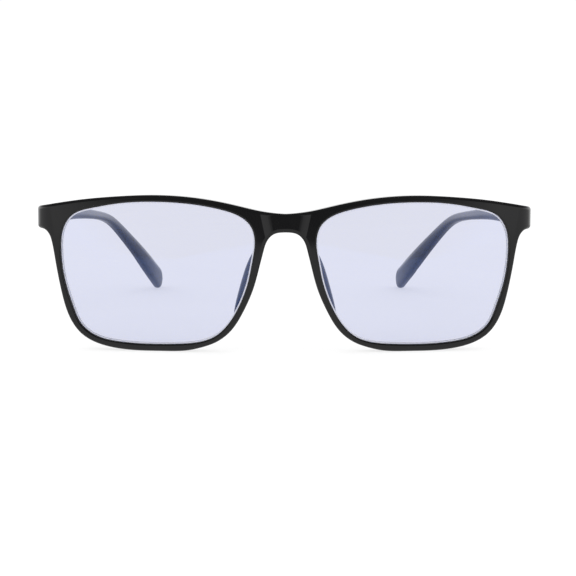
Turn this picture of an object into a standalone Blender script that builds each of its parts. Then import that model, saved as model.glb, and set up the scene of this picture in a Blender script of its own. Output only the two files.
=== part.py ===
"""Blue light glasses: a one-piece front, two lenses, bonded nose pads and two folding temples.

Metres, +Z up. The front faces -Y, the temples run back along +Y and the wearer's left is +X.
The origin is at the centre of the base, so the rims and the temple tips stand on Z = 0.

The front is designed flat and then wrapped on a curve seen from above. Flat places are
(along, up, depth): along runs from the middle of the bridge round to the hinge, and depth
runs from the front surface towards the wearer.
"""

import math

import bmesh
import bpy
import numpy as np
from mathutils import Matrix, Vector

MM = 0.001
COLLECTION_NAME = "blue_light_glasses"
CUTTERS_NAME = "cutters"
SIDES = (("left", 1), ("right", -1))

# The whole object, from the front of the bridge to the ends of the temples
OVERALL_DEPTH = 142.7 * MM
TEMPLE_END = 142.4 * MM
FRONT_Y = -OVERALL_DEPTH / 2

# The front: a plate wrapped on a shallow curve, which turns back at each endpiece
FRAME_THICKNESS = 4.0 * MM
FACE_RADIUS = 360.0 * MM
BEND_START = 67.0 * MM
BEND_RADIUS = 7.0 * MM
ARM_STRAIGHT = 5.5 * MM
START_ANGLE = BEND_START / FACE_RADIUS
BEND_END = BEND_START + BEND_RADIUS * (math.pi / 2 - START_ANGLE)
BUTT_ALONG = BEND_END + ARM_STRAIGHT
BEND_CENTRE_X = (FACE_RADIUS - BEND_RADIUS) * math.sin(START_ANGLE)
BEND_CENTRE_Y = FACE_RADIUS - (FACE_RADIUS - BEND_RADIUS) * math.cos(START_ANGLE)

# Outlines in (along, up), in millimetres. The outer one runs past the middle of the bridge
# and past the hinge end, where the plate is cut off.
APERTURE_MM = (
    (8.9, 31.5), (9.5, 26.9), (10.85, 20.3), (13.4, 13.4), (16.4, 8.3), (20.6, 4.4),
    (25.6, 2.75), (32.0, 2.2), (48.7, 2.65), (55.2, 4.2), (59.7, 7.6), (62.1, 12.8),
    (64.3, 19.9), (65.4, 29.0), (64.6, 35.4), (61.9, 39.2), (56.1, 41.3), (48.0, 42.75),
    (39.3, 43.3), (27.0, 42.7), (17.8, 41.0), (13.2, 39.3), (10.2, 36.7),
)
OUTLINE_MM = (
    (-4.9, 40.45), (0.0, 40.0), (4.9, 40.45), (14.0, 42.4), (23.3, 44.2), (37.3, 45.25),
    (49.0, 44.75), (60.0, 43.65), (66.5, 42.65), (72.0, 41.85), (78.0, 41.3), (85.0, 40.8),
    (91.0, 40.4), (94.0, 37.9), (91.0, 35.2), (85.0, 34.85), (78.0, 34.9), (73.0, 34.95),
    (70.8, 34.65), (69.3, 33.5), (68.4, 31.4), (67.35, 26.3), (65.4, 16.2), (63.1, 9.2),
    (59.8, 4.7), (55.6, 2.2), (50.0, 0.7), (41.0, 0.0), (33.0, 0.0), (28.6, 0.25),
    (24.4, 1.15), (19.6, 3.0), (15.4, 6.5), (12.2, 11.6), (9.2, 18.5), (7.3, 25.5),
    (6.35, 29.2), (5.3, 32.2), (3.6, 34.0), (0.0, 34.65), (-3.6, 34.0), (-5.3, 32.2),
    (-12.0, 35.5), (-14.0, 42.4),
)
STEPS_PER_SPAN = 2

# The rim's section. Widths run in from an edge of the outline, depths from the front.
FRONT_ROUND_WIDTH = 1.05 * MM
FRONT_ROUND_DEPTH = 0.9 * MM
BACK_ROUND = 0.5 * MM
APERTURE_ROUND = 0.35 * MM
APERTURE_BACK_WIDTH = 0.75 * MM
APERTURE_BACK_DEPTH = 1.5 * MM
GROOVE_FRONT = 0.95 * MM
GROOVE_APEX = 1.45 * MM
GROOVE_BACK = 1.95 * MM
GROOVE_DEPTH = 0.5 * MM

# The bridge is hollowed between two creases that lean outwards to the top
CREASE_FOOT = (5.6 * MM, 32.2 * MM)
CREASE_HEAD = (7.4 * MM, 40.6 * MM)
SADDLE_DEPTH = 0.9 * MM
SADDLE_WIDTH = 4.0 * MM

# Lenses
LENS_THICKNESS = 1.9 * MM
LENS_GAP = 0.12 * MM
LENS_BEVEL = 0.42 * MM
LENS_CHAMFER = 0.25 * MM
LENS_DOME = 0.7 * MM
LENS_CENTRE = (37.0 * MM, 23.0 * MM)
LENS_RINGS = (0.66, 0.33)

# Nose pads
PAD_LOW = 10.0 * MM
PAD_HIGH = 29.6 * MM
PAD_REACH = 7.6 * MM
PAD_SPLAY = 2.6 * MM
PAD_THICKNESS = 1.25 * MM
PAD_GAP = 0.06 * MM
PAD_NOSE_INSET = 0.55 * MM
PAD_LENS_INSET = 0.8 * MM
PAD_STATIONS = 12

# Hinges: the axis stands just inside the arm, level with the joint between arm and temple
BUTT_GAP = 0.1 * MM
HINGE_HEIGHT = 37.95 * MM
BARREL_RADIUS = 1.25 * MM
BORE_RADIUS = 0.65 * MM
KNUCKLE_HEIGHT = 0.88 * MM
KNUCKLE_PITCH = 0.94 * MM
KNUCKLE_COUNT = 5
BARREL_CLEARANCE = 0.05 * MM
LEAF_THICKNESS = 0.8 * MM
LEAF_HEIGHT = 4.7 * MM
POCKET_GAP = 0.06 * MM
FRONT_LEAF_LENGTH = 4.9 * MM
TEMPLE_LEAF_LENGTH = 7.6 * MM
ARM_OUTER_X = BEND_CENTRE_X + BEND_RADIUS
ARM_INNER_X = ARM_OUTER_X - FRAME_THICKNESS
BUTT_Y = FRONT_Y + BEND_CENTRE_Y + ARM_STRAIGHT
HINGE_X = ARM_INNER_X - BARREL_CLEARANCE - BARREL_RADIUS
ROUND_STEPS = 16
WEB_START = math.radians(6)

# Screws
PIVOT_RADIUS = 0.6 * MM
PIVOT_HEAD_RADIUS = 1.1 * MM
PIVOT_HEAD_HEIGHT = 0.6 * MM
PIVOT_TAIL = 0.35 * MM
PIVOT_HEAD_GAP = 0.03 * MM
SLOT_WIDTH = 0.3 * MM
SLOT_DEPTH = 0.28 * MM
FIXING_RADIUS = 0.45 * MM
FIXING_HEAD_RADIUS = 0.85 * MM
FIXING_HEAD_HEIGHT = 0.45 * MM
FIXING_LENGTH = 2.2 * MM
FIXING_CLEARANCE = 0.05 * MM
FRONT_FIXING_Y = BUTT_Y - 3.2 * MM
FRONT_FIXING_SPREAD = 1.35 * MM
TEMPLE_FIXING_Y = (BUTT_Y + 3.0 * MM, BUTT_Y + 5.8 * MM)

# Temples: distance behind the front, half-spread, height of the middle, section height, thickness
TEMPLE_STATIONS_MM = (
    (18.7, 70.3, 37.93, 6.1, 4.0), (28.0, 70.2, 37.45, 6.4, 3.9), (40.0, 69.2, 36.8, 5.5, 3.6),
    (54.0, 67.0, 35.65, 4.2, 3.2), (68.0, 64.3, 34.05, 3.4, 2.9), (83.0, 61.5, 32.1, 3.0, 2.7),
    (95.0, 58.9, 29.3, 3.2, 2.7), (106.0, 55.5, 23.6, 4.0, 2.8), (117.0, 51.3, 16.1, 5.5, 2.9),
    (128.0, 47.8, 9.0, 7.0, 3.0), (140.2, 45.4, 2.95, 7.8, 2.8),
)
TEMPLE_RINGS = 30
TEMPLE_UPRIGHT_UNTIL = 60.0 * MM
TEMPLE_SQUARE_FROM = 100.0 * MM
SECTION_POINTS = 16
SECTION_POWER = 3.2
TIP_ROUND = 5.0 * MM

# Core wires, which start low at the butt, below the leaf's screws, and rise to the middle
WIRE_RADIUS = 0.55 * MM
WIRE_CLEARANCE = 0.06 * MM
WIRE_DROP = 2.1 * MM
WIRE_OUTWARD = 0.6 * MM
WIRE_LEVEL_AT = 45.0 * MM
WIRE_END = 128.0 * MM
WIRE_SIDES = 8
WIRE_RINGS = 22


def clear_scene():
    """Remove every object of the start-up scene."""
    for thing in list(bpy.data.objects):
        bpy.data.objects.remove(thing, do_unlink=True)


def make_collection(name):
    """Make a collection under the scene's own."""
    collection = bpy.data.collections.new(name)
    bpy.context.scene.collection.children.link(collection)
    return collection


def make_material(name, colour, roughness, metallic=0.0, transmission=0.0, alpha=1.0):
    """Make a Principled material."""
    material = bpy.data.materials.new(name)
    material.use_nodes = True
    shader = material.node_tree.nodes["Principled BSDF"]
    shader.inputs["Base Color"].default_value = (*colour, 1.0)
    shader.inputs["Roughness"].default_value = roughness
    shader.inputs["Metallic"].default_value = metallic
    shader.inputs["Transmission Weight"].default_value = transmission
    shader.inputs["Alpha"].default_value = alpha
    return material


def object_from(name, shape, collection, material=None):
    """Turn a bmesh into an object with its faces pointing out."""
    bmesh.ops.recalc_face_normals(shape, faces=shape.faces[:])
    mesh = bpy.data.meshes.new(name)
    shape.to_mesh(mesh)
    shape.free()
    thing = bpy.data.objects.new(name, mesh)
    collection.objects.link(thing)
    if material:
        mesh.materials.append(material)
        mesh.shade_smooth()
        mesh.set_sharp_from_angle(angle=math.radians(35))
    return thing


def cutter_from(name, shape):
    """Turn a bmesh into a hidden cutter."""
    cutter = object_from(name, shape, bpy.data.collections[CUTTERS_NAME])
    cutter.hide_render = True
    cutter.display_type = "WIRE"
    return cutter


def cut(thing, cutter):
    """Cut one object from another with a Boolean modifier."""
    modifier = thing.modifiers.new(cutter.name, "BOOLEAN")
    modifier.operation = "DIFFERENCE"
    modifier.object = cutter


def spline_through(points, closed=False):
    """Give a function from 0..number of spans to places on a smooth curve through the points."""
    knots = np.array(points, float)
    if closed:
        knots = np.vstack([knots, knots[:1]])
    gaps = np.linalg.norm(np.diff(knots, axis=0), axis=1)
    slopes = np.diff(knots, axis=0) / gaps[:, None]
    count = len(knots)
    matrix = np.zeros((count, count))
    right = np.zeros(knots.shape)
    for row in range(1, count - 1):
        matrix[row, row - 1 : row + 2] = gaps[row - 1], 2 * (gaps[row - 1] + gaps[row]), gaps[row]
        right[row] = 6 * (slopes[row] - slopes[row - 1])
    matrix[0, 0] = 1
    if closed:
        matrix[0, -1] = -1
        matrix[-1, :2] = 2 * gaps[0], gaps[0]
        matrix[-1, -2:] += gaps[-1], 2 * gaps[-1]
        right[-1] = 6 * (slopes[0] - slopes[-1])
    else:
        matrix[-1, -1] = 1
    bends = np.linalg.solve(matrix, right)

    def place(where):
        span = min(max(int(where), 0), count - 2)
        gap = gaps[span]
        after = (where - span) * gap
        before = gap - after
        low, high = knots[span] / gap, knots[span + 1] / gap
        curve = (bends[span] * before**3 + bends[span + 1] * after**3) / (6 * gap)
        bend_low = bends[span] * gap / 6
        bend_high = bends[span + 1] * gap / 6
        return curve + (low - bend_low) * before + (high - bend_high) * after

    return place


def closed_outline(points_mm):
    """Points and outward normals round a closed outline, in metres."""
    place = spline_through(points_mm, closed=True)
    count = len(points_mm) * STEPS_PER_SPAN
    points = np.array([place(step / STEPS_PER_SPAN) for step in range(count)]) * MM
    points[:, 1] = np.maximum(points[:, 1], 0.0)
    tangents = np.roll(points, -1, axis=0) - np.roll(points, 1, axis=0)
    normals = np.stack([tangents[:, 1], -tangents[:, 0]], axis=1)
    normals /= np.linalg.norm(normals, axis=1)[:, None]
    area = np.sum(points[:, 0] * np.roll(points[:, 1], -1) - points[:, 1] * np.roll(points[:, 0], -1))
    return points, normals * math.copysign(1, area)


def wrap(along, up, depth):
    """The world place of a flat place: round the face curve, the endpiece bend and the arm."""
    if along <= BEND_START:
        angle = along / FACE_RADIUS
        x = FACE_RADIUS * math.sin(angle)
        y = FACE_RADIUS * (1 - math.cos(angle))
    else:
        angle = min(START_ANGLE + (along - BEND_START) / BEND_RADIUS, math.pi / 2)
        x = BEND_CENTRE_X + BEND_RADIUS * math.sin(angle)
        y = BEND_CENTRE_Y - BEND_RADIUS * math.cos(angle) + max(along - BEND_END, 0.0)
    return Vector((x - depth * math.sin(angle), FRONT_Y + y + depth * math.cos(angle), up))


def saddle(along, up):
    """How far the front surface is hollowed at a flat place on the bridge."""
    lean = (CREASE_HEAD[0] - CREASE_FOOT[0]) / (CREASE_HEAD[1] - CREASE_FOOT[1])
    inside = CREASE_FOOT[0] + lean * (up - CREASE_FOOT[1]) - along
    part = min(max(inside / SADDLE_WIDTH, 0.0), 1.0)
    return SADDLE_DEPTH * (4 * part - part**4) / 3


def add_ring(shape, points):
    """Add a ring of vertices at the points."""
    return [shape.verts.new(point) for point in points]


def join_rings(shape, first, second):
    """Skin the gap between two rings of equal count with quads."""
    for index, vertex in enumerate(first):
        after = (index + 1) % len(first)
        shape.faces.new((vertex, first[after], second[after], second[index]))


def loft(shape, rings, capped=False):
    """Skin rings of places in order, and close both ends if capped. Gives the rings' vertices."""
    made = [add_ring(shape, ring) for ring in rings]
    for first, second in zip(made, made[1:]):
        join_rings(shape, first, second)
    if capped:
        shape.faces.new(made[0])
        shape.faces.new(made[-1])
    return made


def ring_edges(shape, ring):
    """The edges round a ring of vertices."""
    return [shape.edges.get((ring[i - 1], ring[i])) for i in range(len(ring))]


def slice_flat(shape, place, normal, **clear):
    """Cut the flat plate with a plane, and give the edges of the cut."""
    everything = shape.verts[:] + shape.edges[:] + shape.faces[:]
    result = bmesh.ops.bisect_plane(
        shape, geom=everything, dist=1e-7, plane_co=place, plane_no=normal, **clear
    )
    return [part for part in result["geom_cut"] if isinstance(part, bmesh.types.BMEdge)]


def quarter_round(width, depth, steps):
    """(width, depth) pairs of a quarter ellipse, from the front face round to the side wall."""
    turns = [math.pi / 2 * step / steps for step in range(steps + 1)]
    return [(width * (1 - math.sin(turn)), depth * (1 - math.cos(turn))) for turn in turns]


def outer_section():
    """(inset, depth) pairs down the outside of the rim."""
    front = quarter_round(FRONT_ROUND_WIDTH, FRONT_ROUND_DEPTH, 3)
    back = quarter_round(BACK_ROUND, BACK_ROUND, 2)
    return front + [(inset, FRAME_THICKNESS - depth) for inset, depth in reversed(back)]


def aperture_section():
    """(outset, depth) pairs through the aperture, with the groove that holds the lens."""
    front = quarter_round(APERTURE_ROUND, APERTURE_ROUND, 2)
    bevel = quarter_round(APERTURE_BACK_WIDTH, APERTURE_BACK_DEPTH, 3)
    back = [(outset, FRAME_THICKNESS - depth) for outset, depth in reversed(bevel)]
    groove = [(0.0, GROOVE_FRONT), (GROOVE_DEPTH, GROOVE_APEX), (0.0, GROOVE_BACK)]
    return front + groove + back


def rings_round(points, normals, section, direction):
    """One flat ring for each (offset, depth) pair, as (along, depth, up) places."""
    rings = []
    for offset, depth in section:
        moved = points + normals * offset * direction
        rings.append([(along, depth, up) for along, up in moved])
    return rings


def slice_for_bends(shape):
    """Add edges where the plate will bend: along the creases and round the endpiece."""
    lean = Vector((CREASE_HEAD[0] - CREASE_FOOT[0], 0, CREASE_HEAD[1] - CREASE_FOOT[1]))
    across = Vector((lean.z, 0, -lean.x)).normalized()
    for part in (0.0, 0.3, 0.55, 0.75, 1.0):
        foot = Vector((CREASE_FOOT[0], 0, CREASE_FOOT[1])) - across * SADDLE_WIDTH * part
        slice_flat(shape, foot, across)
    for step in range(8):
        along = BEND_START + (BEND_END - BEND_START) * step / 7
        slice_flat(shape, (along, 0, 0), (1, 0, 0))


def build_front(collection, material):
    """The one-piece front, from one flat half that is wrapped and mirrored."""
    shape = bmesh.new()
    outline, outward = closed_outline(OUTLINE_MM)
    aperture, open_outward = closed_outline(APERTURE_MM)
    outer = loft(shape, rings_round(outline, outward, outer_section(), -1))
    inner = loft(shape, rings_round(aperture, open_outward, aperture_section(), 1))
    for index in (0, -1):
        edges = ring_edges(shape, outer[index]) + ring_edges(shape, inner[index])
        bmesh.ops.triangle_fill(shape, use_beauty=True, edges=edges)
    butt_edges = slice_flat(shape, (BUTT_ALONG, 0, 0), (1, 0, 0), clear_outer=True)
    bmesh.ops.edgeloop_fill(shape, edges=butt_edges)
    slice_flat(shape, (0, 0, 0), (1, 0, 0), clear_inner=True)
    slice_for_bends(shape)
    bmesh.ops.remove_doubles(shape, verts=shape.verts[:], dist=0.003 * MM)
    for vertex in shape.verts:
        along, depth, up = vertex.co
        share = max(1 - depth / FRAME_THICKNESS, 0.0)
        vertex.co = wrap(along, up, depth + saddle(along, up) * share)
    front = object_from("front_frame", shape, collection, material)
    mirror = front.modifiers.new("mirror", "MIRROR")
    mirror.merge_threshold = 0.00001
    return front


def dome_at(share):
    """How far a lens stands forward at a share of the way from its middle to its edge."""
    return LENS_DOME * (1 - share**2)


def build_lens(side_name, side, collection, material):
    """A lens with a bevelled edge that sits in the rim's groove."""
    shape = bmesh.new()
    outline, outward = closed_outline(APERTURE_MM)
    front = GROOVE_APEX - LENS_THICKNESS / 2
    back = GROOVE_APEX + LENS_THICKNESS / 2
    edge = [
        (-LENS_GAP - LENS_CHAMFER, front),
        (-LENS_GAP, front + LENS_CHAMFER),
        (-LENS_GAP, GROOVE_FRONT),
        (LENS_BEVEL, GROOVE_APEX),
        (-LENS_GAP, GROOVE_BACK),
        (-LENS_GAP, back - LENS_CHAMFER),
        (-LENS_GAP - LENS_CHAMFER, back),
    ]
    flat_rings = [outline + outward * offset for offset, _ in edge]
    depths = [depth for _, depth in edge]
    centre = np.array(LENS_CENTRE)
    for share in LENS_RINGS:
        flat_rings.insert(0, centre + (outline - centre) * share)
        depths.insert(0, front - dome_at(share))
        flat_rings.append(centre + (outline - centre) * share)
        depths.append(back - dome_at(share))
    rings = []
    for ring, depth in zip(flat_rings, depths):
        places = [wrap(along, up, depth) for along, up in ring]
        rings.append([Vector((side * place.x, place.y, place.z)) for place in places])
    made = loft(shape, rings)
    for ring, depth in ((made[0], front), (made[-1], back)):
        pole = wrap(centre[0], centre[1], depth - dome_at(0.0))
        middle = shape.verts.new((side * pole.x, pole.y, pole.z))
        for index in range(len(ring)):
            shape.faces.new((ring[index - 1], ring[index], middle))
    return object_from(f"lens_{side_name}", shape, collection, material)


def along_at(points, up, low, high):
    """Where an outline's nasal side is at a height, between two indexes of its points."""
    part = points[low:high]
    order = np.argsort(part[:, 1])
    return float(np.interp(up, part[order, 1], part[order, 0]))


def build_nose_pad(side_name, side, collection, material):
    """A nose pad: a fin bonded to the back of the rim, which splays out as it runs back."""
    outline, _ = closed_outline(OUTLINE_MM)
    aperture, _ = closed_outline(APERTURE_MM)
    nose_low = 32 * STEPS_PER_SPAN
    nose_high = 39 * STEPS_PER_SPAN
    shape = bmesh.new()
    rings = []
    for station in range(PAD_STATIONS + 1):
        share = station / PAD_STATIONS
        up = PAD_LOW + (PAD_HIGH - PAD_LOW) * share
        nose_side = along_at(outline, up, nose_low, nose_high) + PAD_NOSE_INSET
        lens_side = along_at(aperture, up, 0, 5 * STEPS_PER_SPAN) - PAD_LENS_INSET
        swell = math.sin(math.pi * (0.04 + 0.92 * share)) ** 0.5
        reach = PAD_REACH * swell
        splay = PAD_SPLAY * swell
        root = FRAME_THICKNESS + PAD_GAP
        edge = root + reach
        tip_middle = (nose_side + lens_side) / 2 + splay
        half = PAD_THICKNESS / 2 * swell
        corners = [
            (nose_side, root),
            (nose_side + (tip_middle - half - nose_side) * 0.55, root + reach * 0.5),
            (tip_middle - half, edge - half),
            (tip_middle, edge),
            (tip_middle + half, edge - half),
            (lens_side + (tip_middle + half - lens_side) * 0.45, root + reach * 0.5),
            (lens_side, root),
        ]
        places = [wrap(along, up, depth) for along, depth in corners]
        rings.append([Vector((side * place.x, place.y, place.z)) for place in places])
    loft(shape, rings, capped=True)
    return object_from(f"nose_pad_{side_name}", shape, collection, material)


def temple_place(stations, distance):
    """Middle, section height and thickness of the temple at a distance behind the front."""
    spans = np.arange(len(TEMPLE_STATIONS_MM))
    table = np.array(TEMPLE_STATIONS_MM) * MM
    span = float(np.interp(distance, table[:, 0], spans))
    for _ in range(4):
        error = distance - stations(span)[0] * MM
        span += error / (table[-1, 0] - table[0, 0]) * len(spans)
    return stations(span) * MM


def smooth_step(value, low, high):
    """0 below low, 1 above high and a smooth rise between."""
    part = min(max((value - low) / (high - low), 0.0), 1.0)
    return part * part * (3 - 2 * part)


def temple_frames(distances):
    """(middle, thickness direction, height direction, height, thickness) at each distance."""
    stations = spline_through(TEMPLE_STATIONS_MM)
    frames = []
    for distance in distances:
        y, x, z, height, thickness = temple_place(stations, distance)
        ahead = temple_place(stations, distance + 0.5 * MM)
        behind = temple_place(stations, distance - 0.5 * MM)
        run = Vector((ahead[1] - behind[1], ahead[0] - behind[0], ahead[2] - behind[2])).normalized()
        square = smooth_step(distance, TEMPLE_UPRIGHT_UNTIL, TEMPLE_SQUARE_FROM)
        facing = Vector((0, 1, 0)).lerp(run, square).normalized()
        across = facing.cross(Vector((0, 0, 1))).normalized()
        frames.append((Vector((x, FRONT_Y + y, z)), across, across.cross(facing), height, thickness))
    return frames


def rounded_section(half_width, half_height, count):
    """Points round a superellipse, which is a rectangle with generous corners."""
    points = []
    for step in range(count):
        turn = 2 * math.pi * (step + 0.5) / count
        across = math.copysign(abs(math.cos(turn)) ** (2 / SECTION_POWER), math.cos(turn))
        up = math.copysign(abs(math.sin(turn)) ** (2 / SECTION_POWER), math.sin(turn))
        points.append((half_width * across, half_height * up))
    return points


def temple_distances(start, end, count):
    """Distances behind the front, closer together towards the rounded tip."""
    tip = end - TIP_ROUND
    main = [start + (tip - start) * step / (count - 6) for step in range(count - 6)]
    return main + [end - TIP_ROUND * (1 - math.sin(math.pi / 2 * step / 6)) for step in range(6)]


def build_temple(side_name, side, collection, material):
    """A temple: one loft from the butt face to the rounded tip behind the ear."""
    start = BUTT_Y + BUTT_GAP - FRONT_Y
    end = TEMPLE_END
    distances = temple_distances(start, end, TEMPLE_RINGS)
    shape = bmesh.new()
    rings = []
    for distance, frame in zip(distances, temple_frames(distances)):
        middle, across, upward, height, thickness = frame
        left = max(end - distance, 0.0) / TIP_ROUND
        taper = math.sqrt(max(1 - (1 - min(left, 1.0)) ** 2, 0.0))
        section = rounded_section(thickness / 2 * taper**0.5, height / 2 * taper, SECTION_POINTS)
        places = [middle + across * out + upward * up for out, up in section]
        rings.append([Vector((side * place.x, place.y, place.z)) for place in places])
    loft(shape, rings, capped=True)
    return object_from(f"temple_{side_name}", shape, collection, material)


def wire_rings(side, radius, start, end):
    """Rings of a round wire that follows the temple."""
    distances = [start + (end - start) * step / WIRE_RINGS for step in range(WIRE_RINGS + 1)]
    rings = []
    for distance, frame in zip(distances, temple_frames(distances)):
        middle, across, upward, _, _ = frame
        low = 1 - smooth_step(distance, start, WIRE_LEVEL_AT)
        centre = middle - upward * WIRE_DROP * low + across * WIRE_OUTWARD * low
        ring = []
        for step in range(WIRE_SIDES):
            turn = 2 * math.pi * step / WIRE_SIDES
            place = centre + across * radius * math.cos(turn) + upward * radius * math.sin(turn)
            ring.append(Vector((side * place.x, place.y, place.z)))
        rings.append(ring)
    return rings


def build_core_wire(side_name, side, collection, material):
    """The stiffening wire inside a temple, and the cutter for its channel."""
    start = BUTT_Y + BUTT_GAP - FRONT_Y
    wire = bmesh.new()
    loft(wire, wire_rings(side, WIRE_RADIUS, start + 0.4 * MM, WIRE_END), capped=True)
    thing = object_from(f"temple_core_wire_{side_name}", wire, collection, material)
    channel = bmesh.new()
    radius = WIRE_RADIUS + WIRE_CLEARANCE
    rings = wire_rings(side, radius, start + 0.4 * MM, WIRE_END)
    rings.insert(0, [place - Vector((0, 2.0 * MM, 0)) for place in rings[0]])
    rings.append([place + Vector((0, 0.3 * MM, -0.2 * MM)) for place in rings[-1]])
    loft(channel, rings, capped=True)
    return thing, cutter_from(f"core_wire_channel_{side_name}", channel)


def box(shape, low, high):
    """Add a box between two corners."""
    size = Vector(high) - Vector(low)
    middle = (Vector(high) + Vector(low)) / 2
    matrix = Matrix.Translation(middle) @ Matrix.Diagonal((*[abs(part) for part in size], 1))
    bmesh.ops.create_cube(shape, size=1, matrix=matrix)


def turned(name, profile, collection, material, matrix):
    """A turned piece: a profile of (radius, height) spun by a Screw modifier."""
    mesh = bpy.data.meshes.new(name)
    edges = [(index, index + 1) for index in range(len(profile) - 1)]
    mesh.from_pydata([(radius, 0, height) for radius, height in profile], edges, [])
    mesh.materials.append(material)
    thing = bpy.data.objects.new(name, mesh)
    collection.objects.link(thing)
    thing.matrix_world = matrix
    spin = thing.modifiers.new("spin", "SCREW")
    spin.steps = ROUND_STEPS
    spin.render_steps = ROUND_STEPS
    spin.use_merge_vertices = True
    spin.merge_threshold = 0.000001
    spin.use_smooth_shade = False
    return thing


def slot_screw(name, profile, collection, material, matrix):
    """A turned screw with a slot across the head, which is at the top of its own frame."""
    screw = turned(name, profile, collection, material, matrix)
    top = profile[0][1]
    reach = 2 * PIVOT_HEAD_RADIUS
    slot = bmesh.new()
    low = (-reach, -SLOT_WIDTH / 2, top - SLOT_DEPTH)
    high = (reach, SLOT_WIDTH / 2, top + SLOT_DEPTH)
    box(slot, low, high)
    cutter = cutter_from(f"slot_{name}", slot)
    cutter.matrix_world = matrix
    cut(screw, cutter)
    return screw


def knuckle_outline(way):
    """Points round a knuckle: the barrel, with a web out to the leaf. way is +1 or -1 along Y."""
    web_out = ARM_INNER_X - HINGE_X + LEAF_THICKNESS / 2
    corner = math.atan2(BARREL_RADIUS, web_out)
    steps = {2 * math.pi * step / ROUND_STEPS for step in range(ROUND_STEPS)}
    turns = sorted(steps | {WEB_START, corner})
    points = []
    for turn in turns:
        reach = BARREL_RADIUS
        if WEB_START <= turn < corner:
            reach = web_out / math.cos(turn)
        elif corner <= turn < math.pi / 2:
            reach = BARREL_RADIUS / math.sin(turn)
        points.append((turn, reach))
    return [(turn * way, reach) for turn, reach in points]


def knuckles(side, way, indexes):
    """A bmesh of bored knuckles at the given places up the barrel."""
    shape = bmesh.new()
    bottom = HINGE_HEIGHT - (KNUCKLE_COUNT - 1) / 2 * KNUCKLE_PITCH - KNUCKLE_HEIGHT / 2
    outline = knuckle_outline(way)
    for index in indexes:
        low = bottom + index * KNUCKLE_PITCH
        rings = []
        for bored, height in ((0, low), (0, low + KNUCKLE_HEIGHT), (1, low + KNUCKLE_HEIGHT), (1, low)):
            ring = []
            for turn, reach in outline:
                radius = BORE_RADIUS if bored else reach
                x = HINGE_X + radius * math.cos(turn)
                ring.append((side * x, BUTT_Y + radius * math.sin(turn), height))
            rings.append(ring)
        made = loft(shape, rings)
        join_rings(shape, made[-1], made[0])
    return shape


def leaf_box(side, way, length, grow=0.0):
    """Low and high corners of a hinge leaf's plate, or of its pocket when grown."""
    near = BUTT_Y + way * (BUTT_GAP + 0.1 * MM) - way * (4 * MM if grow else 0.0)
    far = BUTT_Y + way * (BUTT_GAP + 0.1 * MM + length + grow)
    inner = ARM_INNER_X - (1.0 * MM if grow else 0.0)
    outer = ARM_INNER_X + LEAF_THICKNESS + grow
    half = LEAF_HEIGHT / 2 + grow
    low = (side * inner, near, HINGE_HEIGHT - half)
    high = (side * outer, far, HINGE_HEIGHT + half)
    return low, high


def fixing_places(side, way):
    """Where a leaf's two screws start, on the leaf's inner face."""
    x = side * ARM_INNER_X
    if way < 0:
        heights = (HINGE_HEIGHT - FRONT_FIXING_SPREAD, HINGE_HEIGHT + FRONT_FIXING_SPREAD)
        return [(x, FRONT_FIXING_Y, height) for height in heights]
    return [(x, y, HINGE_HEIGHT) for y in TEMPLE_FIXING_Y]


def fixing_profile(grow=0.0):
    """(radius, height) down a countersunk fixing screw, or down its hole when grown."""
    shank = FIXING_RADIUS + grow
    head = FIXING_HEAD_RADIUS + grow
    top = 0.3 * MM if grow else -0.02 * MM
    under_head = -FIXING_HEAD_HEIGHT - grow * 0.4
    end = -FIXING_LENGTH - grow * 2
    profile = [(0, top), (head, top), (head, -0.06 * MM - grow * 0.4), (shank, under_head)]
    return profile + [(shank, end + shank * 0.5), (shank * 0.4, end), (0, end)]


def fixing_matrix(side, place):
    """Stand a screw's axis along X with its head towards the wearer's head."""
    turn = Matrix.Rotation(-side * math.pi / 2, 4, "Y")
    return Matrix.Translation(place) @ turn


def build_leaf(side_name, side, way, pieces, materials):
    """One leaf of a hinge with its fixing screws. Cuts its pocket and holes in what holds it."""
    collection, holder = pieces
    place_name = "front" if way < 0 else "temple"
    length = FRONT_LEAF_LENGTH if way < 0 else TEMPLE_LEAF_LENGTH
    plate = bmesh.new()
    box(plate, *leaf_box(side, way, length))
    leaf_name = f"hinge_{place_name}_leaf_{side_name}"
    leaf = object_from(leaf_name, plate, collection, materials["hinge"])
    indexes = range(0, KNUCKLE_COUNT, 2) if way < 0 else range(1, KNUCKLE_COUNT, 2)
    barrel = cutter_from(f"knuckles_{leaf_name}", knuckles(side, way, indexes))
    union = leaf.modifiers.new("knuckles", "BOOLEAN")
    union.operation = "UNION"
    union.object = barrel
    pocket = bmesh.new()
    box(pocket, *leaf_box(side, way, length, POCKET_GAP))
    cut(holder, cutter_from(f"pocket_{leaf_name}", pocket))
    cutters = bpy.data.collections[CUTTERS_NAME]
    made = [leaf]
    for number, place in enumerate(fixing_places(side, way), 1):
        matrix = fixing_matrix(side, place)
        hole_name = f"hole_{number}_{leaf_name}"
        hole = turned(hole_name, fixing_profile(FIXING_CLEARANCE), cutters, materials["hinge"], matrix)
        hole.hide_render = True
        hole.display_type = "WIRE"
        cut(leaf, hole)
        cut(holder, hole)
        screw_name = f"{place_name}_leaf_screw_{number}_{side_name}"
        made.append(slot_screw(screw_name, fixing_profile(), collection, materials["screw"], matrix))
    return made


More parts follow.
